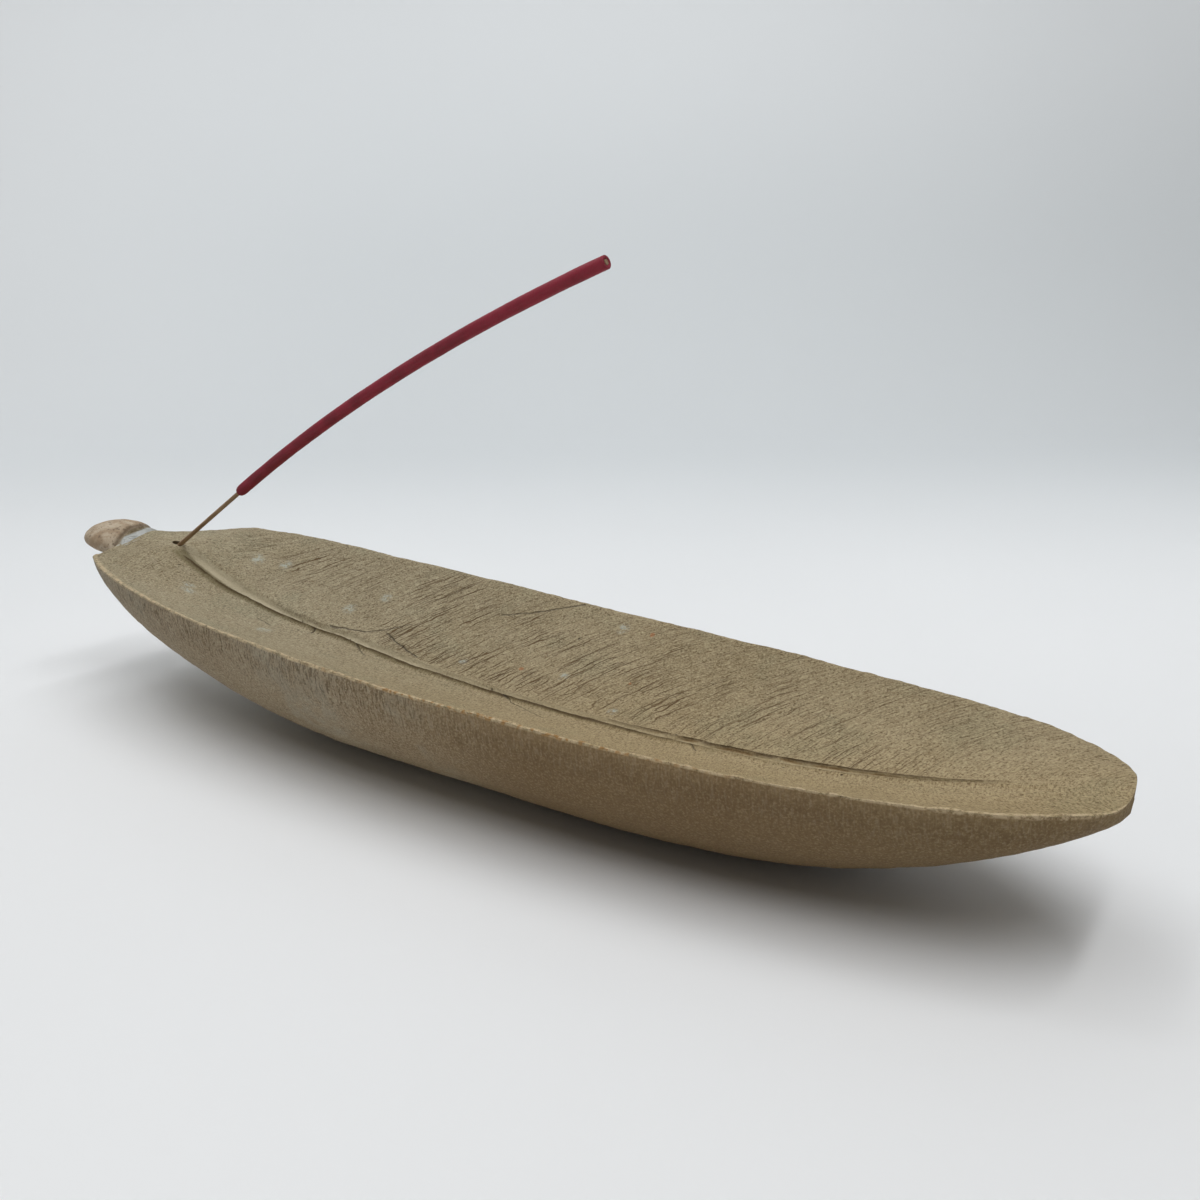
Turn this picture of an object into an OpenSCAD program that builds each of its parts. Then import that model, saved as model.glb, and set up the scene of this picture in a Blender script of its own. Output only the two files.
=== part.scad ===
// Leaf-shaped incense holder carved from one stone, with an incense stick standing in its hole.
// The leaf lies along X with its tip at +X, Z is up, and the origin is the middle of the flat underside.

/* [Leaf] */
// Length of the leaf blade, from its base end to its tip
leaf_length = 290; // [240:1:340]
// Greatest width of the leaf blade
leaf_width = 81.4; // [64:0.2:100]
// Height of the rim above the table, halfway along
rim_height = 33.7; // [30:0.1:44]
// How much higher the rim is at the base end than at the tip
rim_fall = 10.2; // [4:0.2:14]
// How far both ends of the rim curl up above its middle
rim_curl = 3.9; // [0:0.1:7]
// Roundness of the outline at the base end, less is blunter
base_taper = 0.265; // [0.24:0.005:0.45]
// Roundness of the outline at the tip, less is blunter
tip_taper = 0.365; // [0.28:0.005:0.5]

/* [Underside] */
// Thickness of the stone at the base end
base_thickness = 15.5; // [13:0.1:17]
// Thickness of the stone at the tip
tip_thickness = 4.4; // [3:0.2:8]
// Where the underside leaves the table towards the base end, from the base end
base_rise_start = 112; // [100:1:125]
// Where the underside leaves the table towards the tip, from the tip
tip_rise_start = 100; // [80:1:110]
// Fullness of the underside's cross-section, 2 is an ellipse
hull_fullness = 2; // [1.8:0.05:2.6]
// Depth ground off the keel to make the flat resting face
flat_depth = 0.6; // [0.4:0.1:1.2]

/* [Dish] */
// Depth of the ash dish below the rim, along the midrib
dish_depth = 15.4; // [8:0.1:17]
// Length over which the dish falls away from the hole
dish_entry = 31; // [24:1:50]
// Length over which the dish rises to the tip
dish_exit = 64; // [40:1:80]
// Width of the raised midrib at the hole
rib_width = 3.6; // [2.4:0.1:5]
// Height of the raised midrib at the hole
rib_height = 1; // [0.5:0.1:1.6]
// Height of the midrib left at the tip
rib_tip_height = 0.3; // [0.2:0.1:0.5]

/* [Stem] */
// Length of the stem stub behind its sawn face
stem_length = 17.4; // [14:0.2:30]
// Width of the stem stub
stem_width = 21.4; // [16:0.2:26]
// Height of the stem stub
stem_height = 11; // [9:0.2:14]
// How far the stem stub's sawn face stands above the leaf
stem_step = 2.2; // [1:0.1:3]
// How far the stem stub's back rises behind its sawn face
stem_lift = 3.0; // [0:0.2:4]
// Sideways place of the stem stub's sawn face
stem_offset = -6; // [-8:0.5:4]
// How far the stem stub points away from the leaf's length
stem_skew = 20; // [0:1:25]

/* [Incense stick] */
// Diameter of the bamboo splint
splint_d = 1.3; // [1:0.1:1.8]
// Diameter of the incense coating
coating_d = 3.2; // [2.6:0.1:4.2]
// Bare bamboo between the hole and the coating
bare_length = 36; // [20:1:60]
// Length of the incense coating
coating_length = 143.8; // [90:0.2:180]
// Length of the rounded lower end of the coating
coating_nose = 2.2; // [1.5:0.1:3]
// Slope of the straight part of the stick above the table
stick_slope = 32.6; // [28:0.2:45]
// How much the stick has bent down at its upper end
stick_droop = 12.6; // [6:0.2:20]

/* [Hole] */
// Diameter of the hole that holds the stick
hole_d = 3; // [2.2:0.1:3.6]
// Depth of the hole along its axis
hole_depth = 15; // [10:0.5:18]
// Distance of the hole's mouth from the base end
hole_from_base = 16.2; // [13:0.2:20]
// Gap between the splint and the wall that it leans on
splint_gap = 0.1; // [0.05:0.05:0.2]

/* [Hidden] */

stone = [0.58, 0.54, 0.45];
bamboo = [0.62, 0.5, 0.35];
incense = [0.5, 0.08, 0.14];

stations = 46;       // rings along the leaf
hull_steps = 8;      // facets from the rim to the keel on one side
dish_steps = 5;      // facets from the rim to the midrib on one side
stem_rings = 12;     // rings along the stem stub
stem_sides = 28;     // facets round the stem stub
end_share = 0.0004;  // the end rings stand this share of the length inside the ends
root = 7;            // how far the stem stub runs into the leaf
stem_inset = 2.3;    // the sawn face's middle stands this far in from the base end
root_cover = 0.5;    // stone over that root
over = 20;           // cutters reach this far past what they cut
keel_power_base = 1.88;
keel_power_tip = 2.5;
dish_bulge = 1.6;    // 1 is a straight-sided dish, 2 a round one
stem_power = 2.2;    // bluntness of the stem stub's end
stem_end = 0.999;    // the last ring stands at this share of its length

half = leaf_length / 2;
taper_peak = base_taper / (base_taper + tip_taper);
taper_top = pow(taper_peak, base_taper) * pow(1 - taper_peak, tip_taper);

// A smooth step up from 0 towards 1
function ease(x) = 1 - 2 / (exp(2 * x) + 1);
// Place along the leaf of share t, from the base end at 0 to the tip at 1
function place(t) = (t - 0.5) * leaf_length;
// Half the blade's width
function half_width(t) = leaf_width / 2 * pow(t, base_taper) * pow(1 - t, tip_taper) / taper_top;
function rim(t) = rim_height - rim_fall * (t - 0.5) + 4 * rim_curl * pow(t - 0.5, 2);
// Height of the keel before the flat is ground
function keel(t) =
    let (a = t * leaf_length, b = (1 - t) * leaf_length)
    a < base_rise_start
        ? -flat_depth + (rim(0) - base_thickness + flat_depth)
            * pow(1 - a / base_rise_start, keel_power_base)
    : b < tip_rise_start
        ? -flat_depth + (rim(1) - tip_thickness + flat_depth)
            * pow(1 - b / tip_rise_start, keel_power_tip)
    : -flat_depth;
// Depth of the dish under the rim, on the centre line
function dish(t) =
    let (a = t * leaf_length - hole_from_base, b = (1 - t) * leaf_length)
    a <= 0 ? 0 : dish_depth * ease(a / dish_entry) * ease(b / dish_exit);
// The midrib's height and half width, which shrink towards the tip
function rib_rise(t) =
    let (a = t * leaf_length - hole_from_base)
    a <= 0 ? 0 : (rib_height + (rib_tip_height - rib_height) * t) * ease(a / rib_width);
function rib_half(t) = rib_width / 2 * (1 - 0.75 * t);
// The dish's surface at a share u of the half width, without the midrib
function dish_z(t, u) = rim(t) - dish(t) * (1 - pow(u, dish_bulge));

// One ring: the dish from the +Y rim to the -Y rim, then the underside back to the +Y rim
function ring(t) =
    let (x = place(t), w = half_width(t), r = min(rib_half(t), 0.3 * w), z = rim(t), k = keel(t))
    concat(
        [for (i = [0 : dish_steps]) let (u = 1 - i * (1 - r / w) / dish_steps) [x, u * w, dish_z(t, u)]],
        [[x, 0.35 * r, dish_z(t, 0) + rib_rise(t)], [x, -0.35 * r, dish_z(t, 0) + rib_rise(t)]],
        [for (i = [dish_steps : -1 : 0]) let (u = 1 - i * (1 - r / w) / dish_steps) [x, -u * w, dish_z(t, u)]],
        [for (i = [1 : 2 * hull_steps - 1])
            let (a = 90 * i / hull_steps, s = pow(sin(a), 2 / hull_fullness),
                 c = sign(cos(a)) * pow(abs(cos(a)), 2 / hull_fullness))
            [x, -c * w, z - s * (z - k)]]
    );

// A closed skin over rings of equal length, with an apex in each end ring's plane
module skin(rings, first, last) {
    n = len(rings[0]);
    m = len(rings);
    polyhedron(
        points = concat([for (r = rings) for (p = r) p], [first, last]),
        faces = [for (j = [0 : n - 1]) let (q = (j + 1) % n)
            each concat(
                [[m * n, j, q], [m * n + 1, (m - 1) * n + q, (m - 1) * n + j]],
                [for (i = [0 : m - 2])
                    each [[i * n + q, i * n + j, (i + 1) * n + j], [i * n + q, (i + 1) * n + j, (i + 1) * n + q]]]
            )]
    );
}

// The middle of the leaf's end face at share t
function end_middle(t) = [place(t), 0, (rim(t) + keel(t)) / 2];

module blade() {
    skin(
        [for (i = [0 : stations])
            let (c = (1 - cos(180 * i / stations)) / 2) ring(end_share + (1 - 2 * end_share) * c)],
        end_middle(end_share),
        end_middle(1 - end_share)
    );
}

stem_top = rim(0) + stem_step;
stem_middle = stem_top - stem_height / 2;

// Height of the stem stub's own axis at a share s of its length
function stem_axis(s) = stem_middle + stem_lift * (1 - pow(1 - s, 3));
// One ring of the stem stub at x, its axis at height z, its size a share f of the full section
function stem_ring(x, z, f) =
    [for (j = [0 : stem_sides - 1]) let (a = 360 * j / stem_sides)
        [x, stem_width / 2 * f * cos(a), z + stem_height / 2 * f * sin(a)]];

// The stem stub: an oval bar with a blunt round end and a root in the leaf, under a sawn step
module stem() {
    translate([-half + stem_inset, stem_offset, 0])
    rotate([0, 0, stem_skew])
    difference() {
        skin(
            concat(
                [for (i = [0 : stem_rings])
                    let (s = stem_end * sin(90 * (1 - i / stem_rings)))
                    stem_ring(-s * stem_length, stem_axis(s), pow(1 - pow(s, stem_power), 1 / stem_power))],
                [stem_ring(root, stem_middle, 1)]
            ),
            [-stem_end * stem_length, 0, stem_axis(stem_end)],
            [root, 0, stem_middle]
        );
        translate([0, -stem_width, rim(2 * root / leaf_length) - root_cover])
            cube([over, 2 * stem_width, over]);
    }
}

// The stick's own axis: it starts on the mouth of the hole and runs up along the slope
module on_stick() {
    translate([place(hole_from_base / leaf_length), 0, rim(hole_from_base / leaf_length)])
        rotate([0, 90 - stick_slope, 0])
            children();
}

// The hole lies above the stick, so that the splint leans on its lower side
hole_shift = (hole_d - splint_d) / 2 - splint_gap;

module stone_leaf() {
    color(stone)
    difference() {
        union() {
            blade();
            stem();
        }
        translate([-leaf_length, -leaf_width, -over])
            cube([2 * leaf_length, 2 * leaf_width, over]);
        on_stick()
            translate([-hole_shift, 0, -hole_depth])
                cylinder(d = hole_d, h = hole_depth + over, $fn = 48);
    }
}

straight = bare_length + coating_nose;
arc_length = coating_length - coating_nose;
arc_radius = arc_length / (stick_droop * PI / 180);
seat = hole_depth - splint_gap;

// Sweeps a flat section along the stick's drooping upper part
module droop() {
    translate([arc_radius, 0, straight])
        rotate([90, 0, 180])
            rotate_extrude(angle = stick_droop, $fn = 360)
                translate([arc_radius, 0])
                    children();
}

module bamboo_splint() {
    color(bamboo)
    on_stick() {
        translate([0, 0, -seat])
            cylinder(d = splint_d, h = seat + straight, $fn = 32);
        droop() circle(d = splint_d, $fn = 32);
    }
}

// The coating's rounded lower end, drawn as radius against height
module nose_profile() {
    steps = 8;
    r = splint_d / 2;
    polygon(concat(
        [for (i = [0 : steps]) let (a = 90 * i / steps)
            [r + (coating_d / 2 - r) * sin(a), coating_nose * (1 - cos(a))]],
        [[r, coating_nose]]
    ));
}

module incense_coating() {
    color(incense)
    on_stick() {
        translate([0, 0, bare_length])
            rotate_extrude($fn = 48) nose_profile();
        droop() difference() {
            circle(d = coating_d, $fn = 48);
            circle(d = splint_d, $fn = 32);
        }
    }
}

stone_leaf();
bamboo_splint();
incense_coating();
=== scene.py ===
"""Looks of the stone leaf incense burner: the carved leaf, the bamboo splint and its incense coating.

Lengths in the mesh code are millimetres in the frame of the CAD model, and become metres when a mesh
is made. Lengths in the materials and on the stage are metres, unless they are multiplied by MM.
"""

import math
from types import SimpleNamespace

import bpy
import numpy as np
from mathutils import Matrix


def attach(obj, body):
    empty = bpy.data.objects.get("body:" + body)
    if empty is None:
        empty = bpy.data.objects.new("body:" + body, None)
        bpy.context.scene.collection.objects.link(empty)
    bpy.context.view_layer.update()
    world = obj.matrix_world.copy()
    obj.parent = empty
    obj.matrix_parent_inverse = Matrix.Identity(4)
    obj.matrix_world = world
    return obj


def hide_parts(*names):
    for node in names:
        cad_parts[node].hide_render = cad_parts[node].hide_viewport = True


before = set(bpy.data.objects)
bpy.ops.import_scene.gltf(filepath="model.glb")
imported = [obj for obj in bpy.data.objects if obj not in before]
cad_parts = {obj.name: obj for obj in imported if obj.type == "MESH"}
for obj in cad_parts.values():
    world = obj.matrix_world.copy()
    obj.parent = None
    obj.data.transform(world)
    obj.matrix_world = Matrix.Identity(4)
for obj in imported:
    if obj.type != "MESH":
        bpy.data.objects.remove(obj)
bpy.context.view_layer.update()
MM = 0.001

# ---------------------------------------------------------------- the CAD model's numbers, in mm
LENGTH = 290.0
WIDTH = 81.4
RIM_HEIGHT, RIM_FALL, RIM_CURL = 33.7, 10.2, 3.9
BASE_TAPER, TIP_TAPER = 0.265, 0.365
BASE_THICKNESS, TIP_THICKNESS = 15.5, 4.4
BASE_RISE, BASE_POWER = 112.0, 1.88
TIP_RISE, TIP_POWER = 100.0, 2.5
FLAT_DEPTH = 0.6
DISH_DEPTH, DISH_ENTRY, DISH_EXIT, DISH_BULGE = 15.4, 31.0, 64.0, 1.6
HOLE_X, HOLE_D, HOLE_DEPTH = -128.8, 3.0, 15.0
SPLINT_D, COATING_D = 1.3, 3.2
BARE, COATING_LENGTH, NOSE = 36.0, 143.8, 2.2
SLOPE, DROOP = math.radians(32.6), math.radians(12.6)
STEM_LENGTH, STEM_WIDTH, STEM_HEIGHT, STEM_POWER = 15.9, 21.4, 11.0, 2.2
STEM_X, STEM_Y, STEM_STEP, STEM_LIFT, STEM_SKEW = -144.2, -6.0, 2.2, 3.0, math.radians(24)

# ---------------------------------------------------------------- what the carving looks like, in mm
STATIONS, TOP_COLUMNS, HULL_COLUMNS = 560, 104, 56
START = -147.0  # the base edge runs askew, and its foremost point is here

# the raised rib: place along the leaf, its near edge and its far edge
RIB = (
    (-130, -3.6, 1.8),
    (-112, -1.6, 4.0),
    (-100, 1.0, 5.2),
    (-81, 1.9, 5.1),
    (-62, 2.5, 6.0),
    (-37, 0.3, 4.2),
    (-9, -0.3, 2.6),
    (31, -0.9, 2.4),
    (62, 0.0, 2.0),
    (81, 0.1, 2.5),
    (100, 0.6, 2.4),
    (130, 1.6, 2.0),
)
# where the vein cuts stand in strong groups: centre x, y, reach x, y, strength
VEIN_GROUPS = (
    (-48, 31, 11, 8, 1.0),
    (-47, 10, 8, 6, 0.9),
    (-14, 9, 26, 7, 0.9),
    (-20, 25, 14, 9, 0.6),
    (12, 22, 20, 10, 0.35),
    (48, 20, 26, 11, 0.3),
    (-96, 22, 16, 10, 0.7),
    (90, 12, 22, 12, 0.4),
    (-128, -14, 9, 12, 0.9),
    (-136, -8, 7, 9, 0.7),
    (-118, 20, 9, 7, 0.6),
)
# cracks: from x, y to x, y, half width, strength
CRACKS = (
    (-71, 6.2, -65, 7.2, 0.22, 1.0),
    (-65, 7.2, -59, 8.8, 0.25, 1.0),
    (-59, 8.8, -54, 12.5, 0.22, 0.8),
    (-54, 12.5, -49, 17, 0.18, 0.7),
    (-53, 11, -44, 7.6, 0.2, 0.9),
    (-44, 7.6, -36, 5.3, 0.2, 0.9),
    (-62, 5.2, -56, 1.6, 0.2, 0.9),
    (-56, 1.6, -48, -2.5, 0.16, 0.7),
    (-72, 4.4, -72.5, -1.3, 0.2, 0.9),
    (-81.5, 5, -82, 1.5, 0.18, 0.8),
    (-7.5, 2.5, 1, -1.5, 0.18, 0.9),
    (1, -1.5, 17, -7.5, 0.13, 0.6),
    (-25, 29, -15, 33.4, 0.18, 0.7),
    (-15, 33.4, -3, 39, 0.18, 0.8),
    (-89, -5.2, -82, -6.2, 0.15, 0.8),
    (52, 1.4, 56, -2.5, 0.15, 0.7),
)
# pits: x, y, radius
PITS = (
    (2.3, 28, 0.35),
    (38.4, -8, 0.35),
    (48, 2.8, 0.35),
    (77, -1.6, 0.3),
    (90, -0.8, 0.3),
    (-121, -7, 0.35),
    (-76, -1.7, 0.5),
    (-15, 33.4, 0.45),
)
# pale bluish bloom on the stone: x, y, reach
BLOOM = (
    (-113.5, 16, 3.5),
    (-111.5, -11, 2.5),
    (-108, -14, 3.0),
    (-79, -11.5, 3.5),
    (-65, 23.4, 2.5),
    (-105, 20, 3.0),
    (-72, 15, 3.0),
    (-23, 9.4, 1.8),
    (28, 5.6, 1.8),
    (7, 14.4, 2.0),
    (13, 34, 2.5),
)
# rusty flecks: x, y, radius
FLECKS = ((-5.8, 13, 0.9), (22, 34, 0.9), (26, 17, 0.6))

# what paint_leaf writes on the mesh and the stone reads
LEAF_ATTRIBUTES = (
    *("rim", "near", "top", "vein_s", "vein_d", "cut", "groove"),
    *("strength", "rib", "flank", "knob", "sawn", "lip"),
)

# ---------------------------------------------------------------- the camera
EYE = (168.4, -206.3, 123.1)  # mm
LOOK_DOWN, LOOK_TURN = math.radians(16.52), math.radians(34.18)
SENSOR, FOCAL_PIXELS, FRAME_PIXELS = 36.0, 1117.2, 1200.0


# ---------------------------------------------------------------- numbers and noise
def smooth(low, high, x):
    t = np.clip((x - low) / (high - low), 0.0, 1.0)
    return t * t * (3.0 - 2.0 * t)


def soft_min(a, b, radius):
    return 0.5 * (a + b - np.sqrt((a - b) ** 2 + radius * radius))


def noise(points, size, seed, octaves=1):
    """Smooth value noise from -1 to 1. points is (..., 3) in mm, size the width of a feature in mm."""
    table = np.random.RandomState(seed).rand(32, 32, 32) * 2.0 - 1.0
    total, weight, out = 0.0, 1.0, 0.0
    for octave in range(octaves):
        p = np.asarray(points, float) / size * (2.0**octave) + 7.3 * octave
        cell = np.floor(p).astype(int)
        f = p - cell
        f = f * f * (3.0 - 2.0 * f)
        value = 0.0
        for corner in range(8):
            bits = np.array([corner & 1, corner >> 1 & 1, corner >> 2])
            part = np.where(bits, f, 1.0 - f).prod(axis=-1)
            i, j, k = np.moveaxis((cell + bits) & 31, -1, 0)
            value = value + part * table[i, j, k]
        out = out + weight * value
        total += weight
        weight *= 0.5
    return out / total


def xyz(x, y, z):
    return np.stack(np.broadcast_arrays(x, y, z), axis=-1)


# ---------------------------------------------------------------- the leaf's form
def share(x):
    return np.clip(x / LENGTH + 0.5, 0.0, 1.0)


def half_width(t):
    peak = BASE_TAPER / (BASE_TAPER + TIP_TAPER)
    top = peak**BASE_TAPER * (1.0 - peak) ** TIP_TAPER
    t = np.clip(t, 1e-6, 1.0 - 1e-6)
    return WIDTH / 2 * t**BASE_TAPER * (1.0 - t) ** TIP_TAPER / top


def rim_z(t):
    return RIM_HEIGHT - RIM_FALL * (t - 0.5) + 4.0 * RIM_CURL * (t - 0.5) ** 2


def keel_z(t):
    a, b = t * LENGTH, (1.0 - t) * LENGTH
    rise_base = rim_z(0.0) - BASE_THICKNESS + FLAT_DEPTH
    rise_tip = rim_z(1.0) - TIP_THICKNESS + FLAT_DEPTH
    z = -FLAT_DEPTH + rise_base * np.clip(1.0 - a / BASE_RISE, 0.0, 1.0) ** BASE_POWER
    return z + rise_tip * np.clip(1.0 - b / TIP_RISE, 0.0, 1.0) ** TIP_POWER


def dish_at(t):
    a = np.maximum(t * LENGTH - (HOLE_X + LENGTH / 2), 0.0)
    return DISH_DEPTH * np.tanh(a / DISH_ENTRY) * np.tanh((1.0 - t) * LENGTH / DISH_EXIT)


def edges(x):
    """The leaf's near and far edges in plan at x: the base edge askew, the far edge waving a little."""
    t = share(x)
    d = np.maximum(x - START, 0.0)
    w = half_width(t + 0.004 * (1.0 - t))
    near = -soft_min(w, 1.0 + 1.7 * d + 0.026 * d * d, 0.6)
    far = soft_min(w, 1.0 + 1.1 * d + 0.03 * d * d, 1.5)
    dent = 0.3 * smooth(-60, -40, x) * (1.0 - smooth(20, 60, x))
    dent = dent - 1.3 * smooth(30, 75, x) * (1.0 - smooth(122, 141, x))
    dent = dent + 0.8 * np.exp(-(((x + 73) / 9) ** 2)) - 1.0 * np.exp(-(((x + 131) / 5) ** 2))
    dent = dent + 0.12 * noise(xyz(x, 0.0, 0.0), 9.0, 11, 2) * smooth(-135, -120, x)
    far = far - dent
    near = near + 0.3 * noise(xyz(x, 5.0, 0.0), 16.0, 12, 2) * smooth(-135, -120, x)
    return np.minimum(near, far - 0.2), far


def rib_edges(x):
    table = np.array(RIB, float)
    return np.interp(x, table[:, 0], table[:, 1]), np.interp(x, table[:, 0], table[:, 2])


def stations():
    """Places along the leaf, closer together where the outline turns across it."""
    x = np.linspace(START, LENGTH / 2, 60001)
    near, far = edges(x)
    step = np.hypot(np.diff(x), 0.55 * np.maximum(abs(np.diff(near)), abs(np.diff(far))))
    along = np.concatenate([[0.0], np.cumsum(step)])
    return np.interp(np.linspace(0.0, along[-1], STATIONS), along, x)


def vein_place(x, y):
    """Coordinates that follow the veins: s across them and d along them, away from the rib."""
    low, high = rib_edges(x)
    near, far = edges(x)
    middle = (low + high) / 2
    far_side = y > middle
    d = np.abs(y - middle)
    reach = np.maximum(np.where(far_side, far - middle, middle - near), 4.0)
    lean = np.where(far_side, 0.12 + 0.95 * d / reach * 0.5, 0.1 + 0.5 * d / reach * 0.5)
    lean = lean + 0.25 * smooth(-20, 60, x) * d / reach
    return x - d * lean, np.where(far_side, d, -d)


def comb(s, d, spacing, seed, length):
    """Irregular cuts side by side across s, each fading in and out along d."""
    rng = np.random.RandomState(seed)
    jitter = rng.rand(1024) * 0.6
    depth = 0.35 + 0.65 * rng.rand(1024)
    place = s / spacing
    out = np.zeros_like(s)
    for offset in (-1, 0, 1):
        k = (np.floor(place).astype(int) + offset) & 1023
        centre = np.floor(place) + offset + 0.2 + jitter[k]
        run = noise(xyz(k * 3.7, d / length, 0.0), 1.0, seed + 1)
        cut = np.exp(-(((place - centre) * spacing / 0.42) ** 2)) * depth[k]
        out = np.maximum(out, cut * smooth(-0.15, 0.35, run))
    return out


def vein_strength(x, y):
    low, high = rib_edges(x)
    field = 0.14 + 0.16 * (y > high) * smooth(-100, -60, x)
    for cx, cy, rx, ry, strength in VEIN_GROUPS:
        field = field + 1.2 * strength * np.exp(-(((x - cx) / rx) ** 2) - ((y - cy) / ry) ** 2)
    field = field * (0.75 + 0.5 * noise(xyz(x, y, 0.0), 8.0, 31))
    off_rib = smooth(0.3, 1.3, np.maximum(low - y, y - high))
    near_side = np.where(y < low, 0.55 - 0.3 * smooth(-118, -100, x), 1.0)
    return np.clip(field, 0.0, 1.0) * off_rib * near_side


def rib_relief(x, y):
    """Height of the rib over the dish, with the grooves that part it from the blade."""
    low, high = rib_edges(x)
    waver = 0.2 * noise(xyz(x, 0.0, 0.0), 11.0, 41, 2)
    low, high = low + waver, high + waver
    rise = 0.8 + 0.4 * (1.0 - smooth(-30, 60, x)) + 0.4 * (1.0 - smooth(-85, -35, x))
    fade = smooth(-128.0, -122.0, x) * (1.0 - smooth(104, 134, x))
    middle, half = (low + high) / 2, np.maximum((high - low) / 2, 0.5)
    u = (y - middle) / half
    crown = smooth(-1.05, 0.35, u) * (1.0 - smooth(0.6, 1.6, u))
    near_cut = (1.0 - 0.5 * smooth(20, 70, x)) * np.exp(-(((y - low + 0.3) / 0.6) ** 2))
    far_depth = 0.2 + 0.25 * smooth(-70, -40, x) + 0.45 * smooth(20, 60, x) - 0.3 * smooth(75, 110, x)
    far_cut = far_depth * np.exp(-(((y - high - 0.2) / 0.38) ** 2))
    groove_fade = smooth(-127.0, -121.0, x) * (1.0 - smooth(116, 138, x))
    return rise * fade * crown, (near_cut + far_cut) * groove_fade


def dish_detail(x, y):
    """Every mark carved into the top, as height in mm, with the share that is a cut."""
    s, d = vein_place(x, y)
    strength = vein_strength(x, y)
    veins = strength * np.maximum(comb(s, d, 2.1, 51, 9.0), 0.8 * comb(s + 0.7, d, 3.3, 57, 14.0))
    rise, groove = rib_relief(x, y)
    place = xyz(x, y, 0.0)
    waves = 0.35 * noise(place, 26.0, 61, 2) + 0.12 * noise(xyz(s, d * 0.35, 0.0), 4.5, 62, 2)
    grain = 0.06 * noise(place, 1.3, 63)
    calm = 1.0 - 0.4 * smooth(0.1, 0.5, rise)
    return rise - 0.95 * groove - 0.16 * veins + (waves + grain) * calm, veins, groove


def hull_detail(x, y, z, below):
    """Unevenness of the underside, with short upright tool marks below the near edge."""
    place = xyz(x, y, z)
    waves = 0.3 * noise(place, 30.0, 71, 2) + 0.12 * noise(place, 6.0, 72, 2)
    marks = noise(xyz(x, 0.0, z * 0.16), 1.25, 73)
    zone = smooth(0.3, 1.5, below) * (1.0 - smooth(5.0, 11.0, below))
    patch = smooth(-118, -100, x) * (1.0 - 0.7 * smooth(5, 30, x))
    return waves + 0.06 * noise(place, 1.4, 74) + 0.16 * marks * zone * patch


# ---------------------------------------------------------------- meshes
def make_object(name, points, faces):
    mesh = bpy.data.meshes.new(name)
    mesh.from_pydata((np.asarray(points, float).reshape(-1, 3) * MM).tolist(), [], faces)
    mesh.validate()
    obj = bpy.data.objects.new(name, mesh)
    bpy.context.scene.collection.objects.link(obj)
    return obj


def tube_faces(rings, sides):
    """Quads round a stack of closed rings, and a fan on the extra point at each end."""
    ring, side = np.meshgrid(np.arange(rings - 1), np.arange(sides), indexing="ij")
    a, b = ring * sides + side, ring * sides + (side + 1) % sides
    quads = np.stack([a, b, b + sides, a + sides], axis=-1).reshape(-1, 4).tolist()
    first, last = rings * sides, rings * sides + 1
    end = (rings - 1) * sides
    fan_a = [(first, (i + 1) % sides, i) for i in range(sides)]
    fan_b = [(last, end + i, end + (i + 1) % sides) for i in range(sides)]
    return quads + fan_a + fan_b


def grid_normals(p):
    """Outward normals of rings of points, (rings, sides, 3), closed round each ring."""
    along = np.gradient(p, axis=0)
    around = np.roll(p, -1, axis=1) - np.roll(p, 1, axis=1)
    n = np.cross(around, along)
    return n / np.maximum(np.linalg.norm(n, axis=-1, keepdims=True), 1e-9)


def combine(obj, other, operation):
    """Joins other to obj, or cuts it out of obj, and removes other."""
    modifier = obj.modifiers.new(operation, "BOOLEAN")
    modifier.operation, modifier.object, modifier.solver = operation, other, "EXACT"
    bpy.context.view_layer.update()
    shape = obj.evaluated_get(bpy.context.evaluated_depsgraph_get())
    mesh = bpy.data.meshes.new_from_object(shape)
    obj.modifiers.clear()
    old, obj.data = obj.data, mesh
    bpy.data.meshes.remove(old)
    bpy.data.objects.remove(other)


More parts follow.
